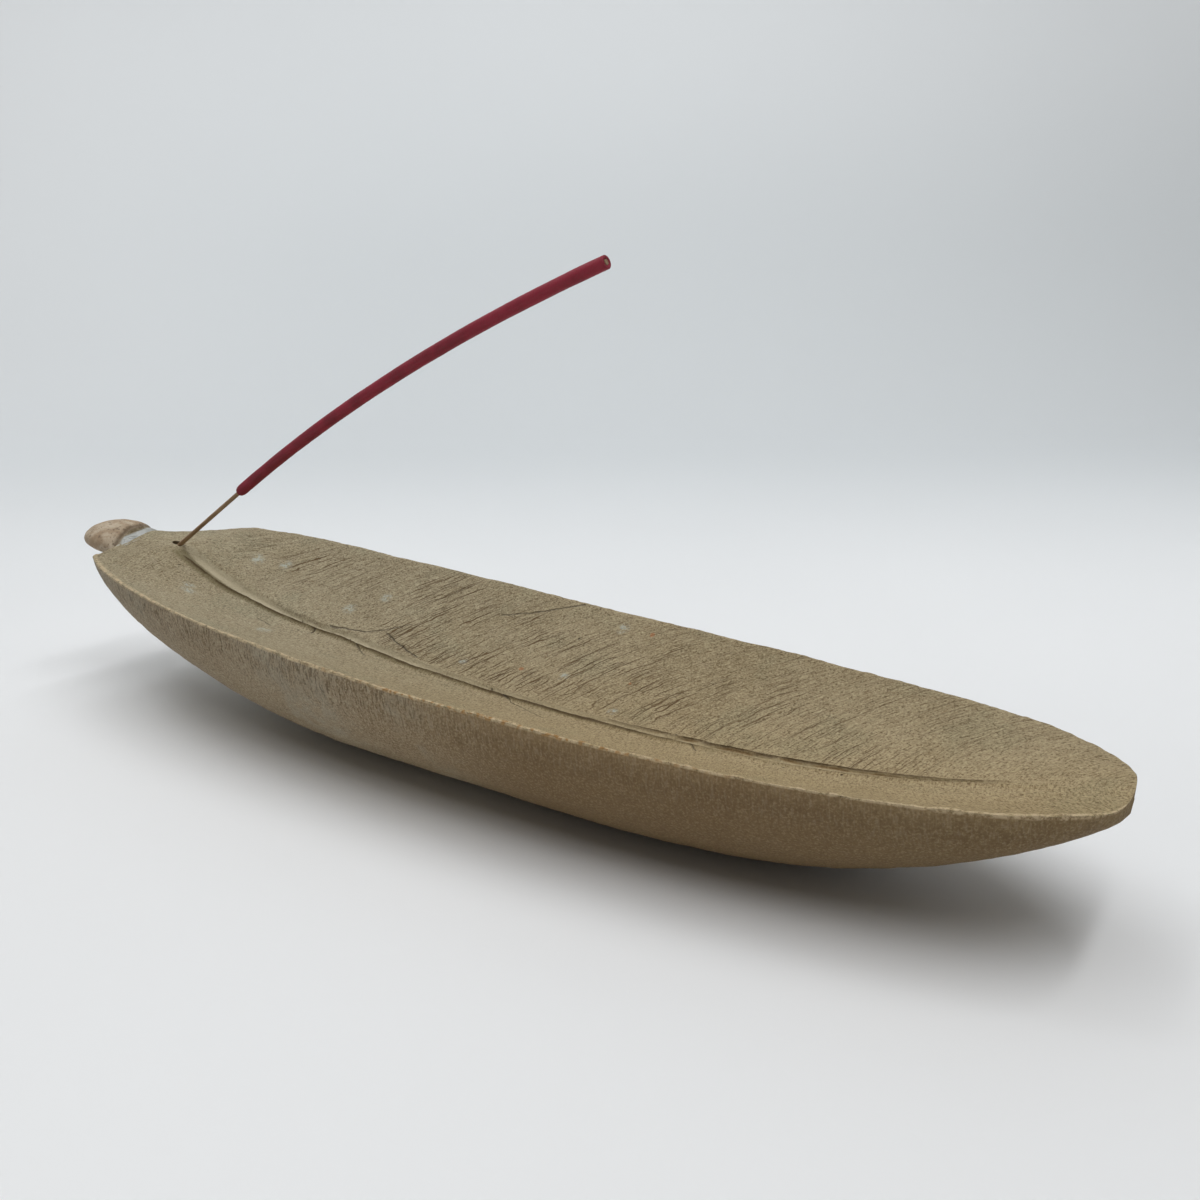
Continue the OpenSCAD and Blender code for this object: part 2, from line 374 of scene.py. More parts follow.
def blade():
    """The hollowed boat of the leaf: one closed skin, its top side then its hull at each station."""
    x = stations()
    t = share(x)
    near, far = edges(x)
    across = np.linspace(-1.0, 1.0, 4001)
    crowd = 1.0 + 1.3 * np.exp(-(((across - 0.04) / 0.17) ** 2)) + 0.6 * smooth(0.93, 1.0, abs(across))
    crowd = np.concatenate([[0.0], np.cumsum(crowd[1:])])
    across = np.interp(np.linspace(0.0, crowd[-1], TOP_COLUMNS), crowd, across)
    centre, half = (near + far) / 2, (far - near) / 2
    top_x = np.repeat(x[:, None], TOP_COLUMNS, 1)
    top_y = centre[:, None] + half[:, None] * across
    side = np.where(top_y < 0.0, -near[:, None], far[:, None])
    u = np.clip(np.abs(top_y) / np.maximum(side, 1.0), 0.0, 1.0)
    top_z = rim_z(t)[:, None] - dish_at(t)[:, None] * (1.0 - u**DISH_BULGE)
    turn = np.linspace(0.0, np.pi, HULL_COLUMNS + 2)[1:-1]
    turn = turn - 0.16 * np.sin(2.0 * turn)
    hull_x = np.repeat(x[:, None], HULL_COLUMNS, 1)
    hull_y = centre[:, None] + half[:, None] * np.cos(turn)
    lean = 1.0 + 0.22 * (1.0 - smooth(-142, -100, x))
    hull_z = rim_z(t)[:, None] - np.sin(turn) ** lean[:, None] * (rim_z(t) - keel_z(t))[:, None]
    p = np.concatenate([xyz(top_x, top_y, top_z), xyz(hull_x, hull_y, hull_z)], axis=1)
    normal = grid_normals(p)
    for _ in range(2):
        normal = normal + np.roll(normal, 1, axis=1) + np.roll(normal, -1, axis=1)
        normal /= np.linalg.norm(normal, axis=-1, keepdims=True)
    top = np.arange(TOP_COLUMNS + HULL_COLUMNS) < TOP_COLUMNS
    below = rim_z(t)[:, None] - p[..., 2]
    carved = dish_detail(p[..., 0], p[..., 1])[0]
    rough = hull_detail(p[..., 0], p[..., 1], p[..., 2], below)
    relief = np.where(top, carved, rough)
    rim_gap = np.minimum(p[..., 1] - near[:, None], far[:, None] - p[..., 1])
    at_rim = np.exp(-((np.hypot(rim_gap, below) / 0.9) ** 2))
    chips = np.where(p[..., 1] < 0.0, 0.45, 0.12)
    relief = relief - chips * at_rim * smooth(0.05, 0.55, noise(p * [1, 0.3, 0.3], 2.4, 75, 2))
    for _ in range(2):
        worn = (np.roll(p, 1, axis=1) + 2.0 * p + np.roll(p, -1, axis=1)) / 4.0
        soft = np.zeros(len(top))
        soft[[0, 1, TOP_COLUMNS - 2, TOP_COLUMNS - 1, TOP_COLUMNS, -1]] = 1.0
        p = p + (worn - p) * soft[None, :, None]
    ends = smooth(START, START + 1.5, x) * (1.0 - smooth(143.8, 145.0, x))
    p = p + normal * (relief * ends[:, None])[..., None]
    sag = 0.3 * smooth(0.0, 11.0, p[..., 1]) * (1.0 - smooth(-129, -113, p[..., 0]))
    p[..., 2] -= sag * smooth(24.0, 38.0, p[..., 2])
    tall = np.maximum(rim_z(t) - keel_z(t), 1.0)[:, None]
    high = np.clip((p[..., 2] - keel_z(t)[:, None]) / tall, 0.0, 1.0)
    droop = 0.8 * smooth(137.5, 144.5, p[..., 0]) * (1.0 - smooth(-3, 9, p[..., 1]))
    p[..., 2] -= droop * high
    p[..., 2] = np.maximum(p[..., 2], 0.0)
    first, last = p[0].mean(axis=0) - [0.3, 0, 0], p[-1].mean(axis=0) + [0.3, 0, 0]
    points = np.concatenate([p.reshape(-1, 3), [first, last]])
    return make_object("carved_leaf", points, tube_faces(STATIONS, p.shape[1]))


def stem():
    """The stalk end that is left standing proud behind the blade, with its sawn front face."""
    rings, sides = 76, 96
    s = np.concatenate([[-0.37, -0.2], np.sin(np.linspace(-0.02, 1.0, rings - 2) * np.pi / 2) * 0.9995])
    inside = np.clip(s, 0.0, 1.0)
    size = np.clip(1.0 - inside**STEM_POWER, 0.0, 1.0) ** (1.0 / STEM_POWER)
    turn = np.linspace(0.0, 2.0 * np.pi, sides, endpoint=False)
    top = rim_z(0.0) + STEM_STEP
    axis_z = top - STEM_HEIGHT / 2 + STEM_LIFT * (1.0 - (1.0 - inside) ** 5)
    y = 0.8 + 0.7 * inside[:, None] + np.cos(turn) * size[:, None] * (STEM_WIDTH / 2 + 0.8)
    z = axis_z[:, None] + np.sin(turn) * size[:, None] * STEM_HEIGHT / 2
    z[:2] = np.minimum(z[:2], rim_z(0.05) - 1.5)
    z[2] = np.minimum(z[2], top - 1.1)
    z[3] = np.minimum(z[3], top - 0.8)
    p = xyz(-s[:, None] * STEM_LENGTH, y, z)
    p[2, :, 0] += 1.1 * smooth(top - 0.2, rim_z(0.0) - 1.0, z[2])
    normal = grid_normals(p)
    relief = 0.6 * noise(p, 9.0, 81, 2) + 0.2 * noise(p * [0.6, 1.0, 1.0], 2.2, 82, 2)
    relief = relief * smooth(0.0, 0.2, size)[:, None] * (s > 0.01)[:, None]
    p = p + normal * relief[..., None]
    first, last = p[0].mean(axis=0), p[-1].mean(axis=0) - [0.05, 0, 0]
    points = np.concatenate([p.reshape(-1, 3), [first, last]])
    c, n = math.cos(STEM_SKEW), math.sin(STEM_SKEW)
    points = points @ np.array([[c, n, 0.0], [-n, c, 0.0], [0.0, 0.0, 1.0]]) + [STEM_X, STEM_Y, 0.0]
    return make_object("stalk_end", points, [f[::-1] for f in tube_faces(rings, sides)])


def stick_place(along, out_x=0.0, out_y=0.0):
    """Point on the stick, along mm from the hole's mouth, set off from its axis, in the CAD frame."""
    straight = BARE + NOSE
    radius = (BARE + COATING_LENGTH - straight) / DROOP
    turn = np.maximum(along - straight, 0.0) / radius
    bend_x = radius * (1.0 - np.cos(turn)) + out_x * np.cos(turn)
    bend_z = np.minimum(along, straight) + radius * np.sin(turn) - out_x * np.sin(turn)
    up_x, up_z = math.cos(SLOPE), math.sin(SLOPE)
    mouth_z = rim_z(share(HOLE_X))
    return xyz(
        HOLE_X + bend_x * up_z + bend_z * up_x,
        out_y,
        mouth_z - bend_x * up_x + bend_z * up_z,
    )


def sweep(name, along, radius_at, sides):
    """A rod along the stick's line. radius_at(along, turn) gives its radius."""
    turn = np.linspace(0.0, 2.0 * np.pi, sides, endpoint=False)
    a, w = np.meshgrid(along, turn, indexing="ij")
    r = radius_at(a, w)
    p = stick_place(a, r * np.cos(w), r * np.sin(w))
    first, last = stick_place(along[0] - 0.02), stick_place(along[-1] + 0.02)
    points = np.concatenate([p.reshape(-1, 3), first.reshape(1, 3), last.reshape(1, 3)])
    faces = tube_faces(len(along), sides)
    obj = make_object(name, points, faces)
    store(obj, "along", np.concatenate([a.ravel(), along[[0, -1]]]))
    store(obj, "turn_x", np.concatenate([np.cos(w).ravel(), [0, 0]]))
    store(obj, "turn_y", np.concatenate([np.sin(w).ravel(), [0, 0]]))
    return obj


def hole_cutter():
    """The drilled hole, its mouth chipped a little wider."""
    along = np.array([-HOLE_DEPTH, -8.0, -2.0, -0.9, -0.3, 0.2, 1.0, 3.0])
    shift = (HOLE_D - SPLINT_D) / 2 - 0.1
    turn = np.linspace(0.0, 2.0 * np.pi, 40, endpoint=False)
    a, w = np.meshgrid(along, turn, indexing="ij")
    flare = 0.5 * smooth(-0.9, 0.6, a) * (1.0 + 0.8 * noise(xyz(np.cos(w), np.sin(w), 0.0), 0.7, 91))
    r = HOLE_D / 2 + flare
    p = stick_place(a, r * np.cos(w) - shift, r * np.sin(w))
    ends = stick_place(along[[0, -1]], -shift)
    return make_object("drill", np.concatenate([p.reshape(-1, 3), ends]), tube_faces(len(along), 40))


def store(obj, name, values):
    data = obj.data.attributes.new(name, "FLOAT", "POINT").data
    data.foreach_set("value", np.asarray(values, np.float32))


def paint_leaf(obj):
    """Writes, on each point of the leaf, what kind of surface it is, for the stone's colours."""
    mesh = obj.data
    p = np.empty(len(mesh.vertices) * 3)
    mesh.vertices.foreach_get("co", p)
    p = p.reshape(-1, 3) / MM
    n = np.empty(len(mesh.vertices) * 3)
    mesh.vertex_normals.foreach_get("vector", n)
    n = n.reshape(-1, 3)
    x, y, z = p.T
    near, far = edges(np.clip(x, -LENGTH / 2, LENGTH / 2))
    inside = np.minimum(y - near, far - y)
    rim = np.hypot(inside, 1.8 * np.maximum(rim_z(share(x)) - z, 0.0) * (n[:, 2] < 0.35))
    back = (x - STEM_X) * math.cos(STEM_SKEW) + (y - STEM_Y) * math.sin(STEM_SKEW)
    top = smooth(0.35, 0.6, n[:, 2]) * (back > 0.0)
    s, d = vein_place(x, y)
    _, veins, groove = dish_detail(x, y)
    store(obj, "rim", rim)
    # 1 on the near side, where the pale rim with its painted highlight and the ochre crumbs mostly go
    store(obj, "near", np.where(y < 0.0, 1.0, 0.1))
    store(obj, "top", top)
    store(obj, "vein_s", s)
    store(obj, "vein_d", d)
    store(obj, "cut", np.clip(veins, 0.0, 1.0) * top)
    store(obj, "groove", np.clip(groove, 0.0, 1.0) * top)
    store(obj, "strength", vein_strength(x, y) * top)
    low, high = rib_edges(x)
    u = (y - (low + high) / 2) / np.maximum((high - low) / 2, 0.5)
    run = smooth(-129, -126, x) * top * (1.0 - smooth(104, 136, x))
    # the rib's ridge, where the stone gets a painted highlight, and its near slope, where it gets
    # painted shade
    store(obj, "rib", smooth(0.0, 0.4, u) * (1.0 - smooth(1.0, 1.35, u)) * run)
    flank = smooth(-1.9, -1.4, u) * (1.0 - smooth(-0.15, 0.25, u))
    store(obj, "flank", flank * run * (1.0 - 0.6 * smooth(20, 70, x)))
    store(obj, "knob", 1.0 - smooth(-0.3, 0.2, back))
    facing = n[:, 0] * math.cos(STEM_SKEW) + n[:, 1] * math.sin(STEM_SKEW)
    low_face = (back > 0.3) & (back < 3.2) & (z > rim_z(share(x)) - 0.9) & (x < -138.0)
    sawn = smooth(0.2, 0.4, facing) * low_face
    store(obj, "sawn", sawn)
    # the lip along the rind's front edge: chipped rind and painted shade under its overhang
    lip = np.exp(-(((back + 0.35) / 0.6) ** 2)) * (z > RIM_HEIGHT + 8.0) * (1.0 - sawn)
    store(obj, "lip", lip * (x < -138.0))


# ---------------------------------------------------------------- materials
class Nodes:
    """Short names for the shader nodes of one material."""

    def __init__(self, name):
        self.material = bpy.data.materials.new(name)
        self.material.use_nodes = True
        self.tree = self.material.node_tree
        self.shader = self.tree.nodes["Principled BSDF"]

    def put(self, socket, value):
        if isinstance(value, bpy.types.NodeSocket):
            self.tree.links.new(value, socket)
        elif value is not None:
            socket.default_value = value

    def new(self, kind, inputs=(), **settings):
        node = self.tree.nodes.new(kind)
        for key, value in settings.items():
            setattr(node, key, value)
        for key, value in dict(inputs).items():
            self.put(node.inputs[key], value)
        return node

    def math(self, operation, a, b=0.0, c=None):
        node = self.new("ShaderNodeMath", operation=operation)
        self.put(node.inputs[0], a)
        self.put(node.inputs[1], b)
        self.put(node.inputs[2], c)
        return node.outputs[0]

    def mul(self, a, b):
        return self.math("MULTIPLY", a, b)

    def add(self, a, b):
        return self.math("ADD", a, b)

    def span(self, value, low, high, to_low=0.0, to_high=1.0):
        node = self.new("ShaderNodeMapRange", interpolation_type="SMOOTHSTEP")
        for socket, v in zip(node.inputs, (value, low, high, to_low, to_high)):
            self.put(socket, v)
        return node.outputs[0]

    def attribute(self, name):
        return self.new("ShaderNodeAttribute", attribute_name=name).outputs["Fac"]

    def place(self):
        return self.new("ShaderNodeTexCoord").outputs["Object"]

    def scaled(self, vector, by):
        node = self.new("ShaderNodeVectorMath", operation="MULTIPLY")
        self.put(node.inputs[0], vector)
        self.put(node.inputs[1], by)
        return node.outputs[0]

    def vector(self, x=0.0, y=0.0, z=0.0):
        return self.new("ShaderNodeCombineXYZ", {"X": x, "Y": y, "Z": z}).outputs[0]

    def noise(self, vector, scale, detail=2.0, rough=0.5):
        inputs = {"Vector": vector, "Scale": scale, "Detail": detail, "Roughness": rough}
        return self.new("ShaderNodeTexNoise", inputs).outputs["Fac"]

    def mix(self, share, a, b, blend="MIX"):
        node = self.new("ShaderNodeMix", data_type="RGBA", blend_type=blend)
        self.put(node.inputs[0], share)
        self.put(node.inputs[6], a)
        self.put(node.inputs[7], b)
        return node.outputs[2]

    def bump(self, height, distance, strength=1.0):
        inputs = {"Height": height, "Distance": distance, "Strength": strength}
        return self.new("ShaderNodeBump", inputs).outputs[0]


def colour(r, g, b):
    return (r, g, b, 1.0)


def crack_mask(k, flat):
    """Dark share of every crack: each is a straight run, bent by the noise already in flat."""
    out = None
    for x0, y0, x1, y1, width, strength in CRACKS:
        a, b = np.array([x0, y0, 0.0]) * MM, np.array([x1, y1, 0.0]) * MM
        run = b - a
        rel = k.new("ShaderNodeVectorMath", operation="SUBTRACT")
        k.put(rel.inputs[0], flat)
        k.put(rel.inputs[1], a.tolist())
        dot = k.new("ShaderNodeVectorMath", operation="DOT_PRODUCT")
        k.put(dot.inputs[0], rel.outputs[0])
        k.put(dot.inputs[1], (run / run.dot(run)).tolist())
        part = k.new("ShaderNodeMath", operation="MINIMUM", use_clamp=True)
        k.put(part.inputs[0], dot.outputs["Value"])
        part.inputs[1].default_value = 1.0
        foot = k.new("ShaderNodeVectorMath", operation="MULTIPLY_ADD")
        k.put(foot.inputs[0], k.vector(part.outputs[0], part.outputs[0], part.outputs[0]))
        k.put(foot.inputs[1], run.tolist())
        k.put(foot.inputs[2], a.tolist())
        gap = k.new("ShaderNodeVectorMath", operation="DISTANCE")
        k.put(gap.inputs[0], flat)
        k.put(gap.inputs[1], foot.outputs[0])
        mask = k.span(gap.outputs["Value"], width * MM * 0.4, width * MM * 1.6, strength, 0.0)
        out = mask if out is None else k.math("MAXIMUM", out, mask)
    return out


def spot_mask(k, flat, spots, soft):
    """Round spots of the given places and sizes, with their outer soft share faded."""
    out = None
    for x, y, radius in spots:
        gap = k.new("ShaderNodeVectorMath", operation="DISTANCE")
        k.put(gap.inputs[0], flat)
        k.put(gap.inputs[1], (x * MM, y * MM, 0.0))
        mask = k.span(gap.outputs["Value"], radius * MM * (1.0 - soft), radius * MM, 1.0, 0.0)
        out = mask if out is None else k.math("MAXIMUM", out, mask)
    return out


def vein_cuts(k, s, d):
    """Thin cuts across s, a few millimetres apart, each coming and going along d."""
    out = None
    for spacing, reach, seed in ((1.2, 0.12, 0.0), (1.9, 0.075, 5.0), (3.1, 0.05, 9.0)):
        wander = k.noise(k.vector(k.mul(s, 0.25), k.mul(d, 0.16), seed), 1.0, 2.0)
        phase = k.add(k.mul(s, 2.0 * math.pi / spacing), k.mul(wander, 9.0))
        wave = k.math("SINE", phase)
        run = k.noise(k.vector(k.mul(s, 0.75 / spacing), k.mul(d, reach), seed + 2.0), 1.0, 1.0)
        line = k.mul(k.span(wave, 0.80, 1.0), k.span(run, 0.45, 0.60))
        out = line if out is None else k.math("MAXIMUM", out, line)
    return out


def bent_plan(k, place, x, y):
    """The place seen from above, with its lines bent a little, for spots and cracks."""
    warp = k.new("ShaderNodeTexNoise", {"Vector": place, "Scale": 420.0, "Detail": 1.0})
    wobble = k.scaled(warp.outputs["Color"], (0.001, 0.001, 0.0))
    shifted = k.new("ShaderNodeVectorMath", operation="ADD")
    k.put(shifted.inputs[0], k.vector(x, y, 0.0))
    k.put(shifted.inputs[1], wobble)
    centred = k.new("ShaderNodeVectorMath", operation="SUBTRACT")
    k.put(centred.inputs[0], shifted.outputs[0])
    centred.inputs[1].default_value = (0.0005, 0.0005, 0.0)
    return centred.outputs[0]


def stone_sockets(k):
    """What the layers of the stone are made from: the place, painted attributes and shared noises."""
    s = SimpleNamespace(place=k.place())
    split = k.new("ShaderNodeSeparateXYZ", {"Vector": s.place})
    s.x, s.y, s.z = (split.outputs[axis] for axis in "XYZ")
    for name in LEAF_ATTRIBUTES:
        setattr(s, name, k.attribute(name))
    s.hull = k.span(s.top, 0.2, 0.8, 1.0, 0.0)
    s.broad = k.noise(s.place, 28.0, 4.0, 0.55)
    s.fine = k.noise(s.place, 210.0, 5.0, 0.65)
    s.speck = k.noise(s.place, 1900.0, 2.0, 0.6)
    s.brushed = k.noise(k.vector(s.vein_s, k.mul(s.vein_d, 0.22), s.z), 2.4, 3.0, 0.75)
    s.flat = bent_plan(k, s.place, s.x, s.y)
    return s


def stone_ground(k, s):
    """The top in warm tan with grey-green patches, and the hull more brown and darker: partly its own
    colour, partly painted shade.
    """
    body = k.mix(k.span(s.broad, 0.36, 0.66), colour(0.315, 0.26, 0.16), colour(0.375, 0.315, 0.205))
    body = k.mix(k.span(s.fine, 0.44, 0.70, 0.0, 0.5), body, colour(0.44, 0.38, 0.265))
    green = k.span(k.noise(s.place, 60.0, 3.0), 0.5, 0.68, 0.0, 0.45)
    body = k.mix(green, body, colour(0.27, 0.255, 0.165))
    tint = k.mix(k.span(s.broad, 0.35, 0.65), colour(0.29, 0.215, 0.13), colour(0.345, 0.27, 0.175))
    tint = k.mix(k.span(s.fine, 0.42, 0.66, 0.0, 0.5), tint, colour(0.38, 0.30, 0.20))
    # paler toward the base end of the hull: partly greyer stone, partly painted light falling on that
    # end
    tint = k.mix(k.span(s.x, -0.06, -0.145, 0.0, 0.75), tint, colour(0.37, 0.315, 0.24))
    # darker low on the hull past the middle: painted shade of the underside that faces down
    low_hull_shade = k.mul(k.span(s.x, -0.02, 0.04), k.span(s.z, 0.036, 0.026))
    tint = k.mix(k.mul(low_hull_shade, 0.6), tint, colour(0.12, 0.073, 0.036))
    return k.mix(k.mul(s.hull, 0.95), body, tint)


def stone_grain(k, s, body):
    """Specks, brushed streaks along the veins, a painted highlight on the rib's ridge and painted shade
    on its near slope.
    """
    speckled = k.math("MAXIMUM", k.span(s.top, 0.2, 0.8), k.span(s.x, -0.02, 0.04, 0.8, 0.4))
    light, dark = k.span(s.speck, 0.50, 0.68, 0.0, 0.75), k.span(s.speck, 0.48, 0.32, 0.0, 0.75)
    body = k.mix(k.mul(light, speckled), body, colour(0.51, 0.45, 0.31))
    body = k.mix(k.mul(dark, speckled), body, colour(0.11, 0.078, 0.04))
    light, dark = k.span(s.brushed, 0.50, 0.66, 0.0, 0.7), k.span(s.brushed, 0.48, 0.34, 0.0, 0.6)
    body = k.mix(k.mul(light, s.top), body, colour(0.48, 0.41, 0.27))
    body = k.mix(k.mul(dark, s.top), body, colour(0.17, 0.11, 0.055))
    # the rib's ridge lighter as a painted highlight, its near slope darker as painted shade
    crest_highlight = k.mul(s.rib, k.span(s.fine, 0.3, 0.6, 0.5, 0.85))
    body = k.mix(crest_highlight, body, colour(0.53, 0.465, 0.325))
    return k.mix(k.mul(s.flank, 0.7), body, colour(0.175, 0.145, 0.07))


def stone_tints(k, s, body):
    """Slow changes along the leaf: warmer toward the tip, the hull more brown past the middle with
    painted shade and painted bounce light in it, and ashy patches on the hull's base half.
    """
    warm = k.mul(k.span(s.x, -0.09, 0.06), k.span(s.y, 0.03, -0.02, 0.45, 1.0))
    body = k.mix(k.mul(warm, s.top), body, colour(1.0, 0.90, 0.74), "MULTIPLY")
    # the hull more brown and darker past the middle: partly the stone's colour, partly painted shade
    # and painted warm bounce light from the floor
    hull_brown_and_shade = k.mul(s.hull, k.span(s.x, -0.035, 0.045))
    body = k.mix(hull_brown_and_shade, body, colour(0.94, 0.84, 0.68), "MULTIPLY")
    at_tip = k.mul(s.hull, k.span(s.x, 0.08, 0.13))
    body = k.mix(at_tip, body, colour(0.97, 1.0, 1.0), "MULTIPLY")
    patches = k.span(k.noise(s.place, 45.0, 4.0, 0.6), 0.47, 0.62)
    ashy = k.mul(k.mul(patches, k.span(s.x, 0.03, -0.01)), s.hull)
    ashy = k.mul(ashy, k.span(s.fine, 0.35, 0.6))
    return k.mix(k.mul(ashy, 0.35), body, colour(0.34, 0.325, 0.255))


def stone_veins(k, s, body):
    """Fine cuts that follow the vein coordinates, in groups, and the rib's grooves in pieces, all
    darkened with painted shade.
    """
    cuts = k.mul(vein_cuts(k, s.vein_s, s.vein_d), s.strength)
    deep = k.math("MAXIMUM", cuts, k.mul(s.cut, 0.22))
    # dark in the vein cuts: painted shade in these narrow recesses
    body = k.mix(k.mul(k.span(deep, 0.05, 0.7), 0.85), body, colour(0.11, 0.062, 0.024))
    # dark in the rib's grooves, in pieces: painted shade along the rib
    groove_shade = k.mul(s.groove, k.span(s.fine, 0.35, 0.55, 0.6, 1.0))
    body = k.mix(k.mul(k.span(groove_shade, 0.25, 0.8), 0.85), body, colour(0.085, 0.055, 0.027))
    return body, deep


def hull_marks(k, s, body):
    """Short upright tool marks below the edge."""
    upright = k.noise(k.scaled(s.place, (2300.0, 900.0, 380.0)), 1.0, 2.0, 0.55)
    zone = k.mul(k.span(s.rim, 0.8, 2.0), k.span(s.rim, 9.0, 24.0, 1.0, 0.15))
    zone = k.mul(zone, k.mul(s.hull, k.span(s.x, -0.02, 0.04, 1.0, 0.3)))
    light, dark = k.span(upright, 0.50, 0.64), k.span(upright, 0.49, 0.36)
    body = k.mix(k.mul(k.mul(light, zone), 0.5), body, colour(0.44, 0.37, 0.26))
    body = k.mix(k.mul(k.mul(dark, zone), 0.5), body, colour(0.09, 0.062, 0.035))
    return body, k.mul(upright, zone)


def wear_and_painted_light(k, s, body):
    """The pale edge, partly worn stone and partly a painted highlight, with ochre crumbs, the bloom,
    the rusty flecks, and the cracks and pits darkened with painted shade.
    """
    # the pale rim, mostly on the near side: partly worn stone, partly a painted highlight where the rim
    # catches the light
    chipped = k.span(k.noise(s.place, 650.0, 4.0, 0.75), 0.38, 0.56)
    edge = k.mul(k.span(s.rim, 0.7, 1.9, 1.0, 0.0), chipped)
    edge = k.mul(edge, k.span(s.x, -0.143, -0.12, 0.35, 1.0))
    body = k.mix(k.mul(k.mul(edge, s.near), 0.85), body, colour(0.62, 0.49, 0.31))
    ochre = k.mul(k.span(s.x, -0.04, 0.0), k.span(s.x, 0.10, 0.05))
    ochre = k.mul(ochre, k.span(s.rim, 0.8, 2.2, 1.0, 0.0))
    crumbs = k.mul(ochre, k.span(k.noise(s.place, 700.0, 3.0), 0.5, 0.62))
    body = k.mix(k.mul(k.mul(crumbs, s.near), 0.8), body, colour(0.36, 0.19, 0.06))
    dusty = k.span(k.noise(s.place, 700.0, 4.0, 0.75), 0.42, 0.6)
    bloom = k.mul(spot_mask(k, s.flat, BLOOM, 0.9), dusty)
    body = k.mix(k.mul(k.mul(bloom, s.top), 0.8), body, colour(0.48, 0.51, 0.45))
    flecks = k.mul(spot_mask(k, s.flat, FLECKS, 0.5), s.top)
    body = k.mix(k.mul(flecks, 0.6), body, colour(0.42, 0.16, 0.06))
    # dark in the cracks and pits: painted shade in these recesses
    cracks = k.math("MAXIMUM", crack_mask(k, s.flat), spot_mask(k, s.flat, PITS, 0.5))
    cracks = k.mul(cracks, s.top)
    return k.mix(k.mul(cracks, 0.6), body, colour(0.05, 0.035, 0.025)), cracks


def stalk_colours(k, s, body):
    """The stalk end's brown rind, its pale sawn face and the dark lip between them, partly chipped rind
    and partly painted shade under the rind's overhang.
    """
    rind = k.mix(k.span(s.fine, 0.38, 0.64), colour(0.35, 0.25, 0.16), colour(0.54, 0.45, 0.34))
    pores = k.span(k.noise(s.place, 900.0, 2.0), 0.43, 0.33, 0.0, 0.7)
    rind = k.mix(pores, rind, colour(0.12, 0.08, 0.05))
    rind = k.mix(k.span(s.x, -0.152, -0.160, 0.0, 0.45), rind, colour(0.25, 0.145, 0.085))
    body = k.mix(k.mul(s.knob, 0.85), body, rind)
    body = k.mix(s.sawn, body, k.mix(s.fine, colour(0.48, 0.49, 0.47), colour(0.60, 0.61, 0.59)))
    # the dark lip: partly chipped rind, partly painted shade under the rind's overhanging edge
    return k.mix(k.mul(s.lip, 0.75), body, colour(0.09, 0.06, 0.035))


def stone():
    """Weathered tan sandstone: warm and grey-green patches, dark cuts with painted shade, pale edges
    partly worn and partly painted highlight, fine grain.
    """
    k = Nodes("stone")
    s = stone_sockets(k)
    body = stone_tints(k, s, stone_grain(k, s, stone_ground(k, s)))
    body, deep = stone_veins(k, s, body)
    body, marks = hull_marks(k, s, body)
    body, cracks = wear_and_painted_light(k, s, body)
    k.put(k.shader.inputs["Base Color"], stalk_colours(k, s, body))
    k.put(k.shader.inputs["Roughness"], k.span(s.fine, 0.3, 0.7, 0.78, 0.95))
    k.shader.inputs["Specular IOR Level"].default_value = 0.25
    grain = k.add(k.mul(s.speck, 0.5), k.mul(k.noise(s.place, 520.0, 4.0, 0.7), 0.9))
    relief = k.add(k.add(grain, k.mul(k.mul(s.brushed, s.top), 1.1)), k.mul(deep, -0.9))
    relief = k.add(relief, k.mul(cracks, -2.0))
    relief = k.add(relief, k.mul(marks, 1.2))
    calm = k.span(s.knob, 0.0, 1.0, 1.0, 0.45)
    k.put(k.shader.inputs["Normal"], k.bump(k.mul(relief, calm), 0.0005, 0.9))
    return k.material


def bamboo():
    """Split bamboo: tan, with fine fibres along it, darker where it was scorched or handled."""
    k = Nodes("bamboo")
    along, tx, ty = k.attribute("along"), k.attribute("turn_x"), k.attribute("turn_y")
    fibre = k.noise(k.vector(k.mul(tx, 3.0), k.mul(ty, 3.0), k.mul(along, 0.06)), 1.6, 4.0, 0.6)
    tone = k.noise(k.vector(tx, ty, k.mul(along, 0.12)), 1.1, 2.0)
    body = k.mix(k.span(tone, 0.35, 0.65), colour(0.25, 0.15, 0.08), colour(0.40, 0.27, 0.16))
    body = k.mix(k.span(fibre, 0.52, 0.72, 0.0, 0.6), body, colour(0.52, 0.38, 0.24))
    body = k.mix(k.span(fibre, 0.46, 0.3, 0.0, 0.7), body, colour(0.12, 0.065, 0.03))
    k.put(k.shader.inputs["Base Color"], body)
    k.put(k.shader.inputs["Roughness"], k.span(fibre, 0.3, 0.7, 0.5, 0.75))
    k.put(k.shader.inputs["Normal"], k.bump(fibre, 0.0002, 0.7))
    return k.material


def incense():
    """Dyed incense paste: deep crimson, matt, with a fine dusty grain."""
    k = Nodes("incense")
    place = k.place()
    fine = k.noise(place, 2600.0, 3.0, 0.6)
    broad = k.noise(place, 160.0, 3.0)
    body = k.mix(k.span(broad, 0.35, 0.65), colour(0.20, 0.008, 0.022), colour(0.27, 0.012, 0.032))
    body = k.mix(k.span(fine, 0.5, 0.75, 0.0, 0.5), body, colour(0.38, 0.03, 0.06))
    body = k.mix(k.span(fine, 0.42, 0.28, 0.0, 0.5), body, colour(0.09, 0.004, 0.01))
    k.put(k.shader.inputs["Base Color"], body)
    k.put(k.shader.inputs["Roughness"], k.span(fine, 0.3, 0.7, 0.55, 0.8))
    k.put(k.shader.inputs["Normal"], k.bump(k.add(fine, k.mul(broad, 0.5)), 0.00018, 0.8))
    return k.material


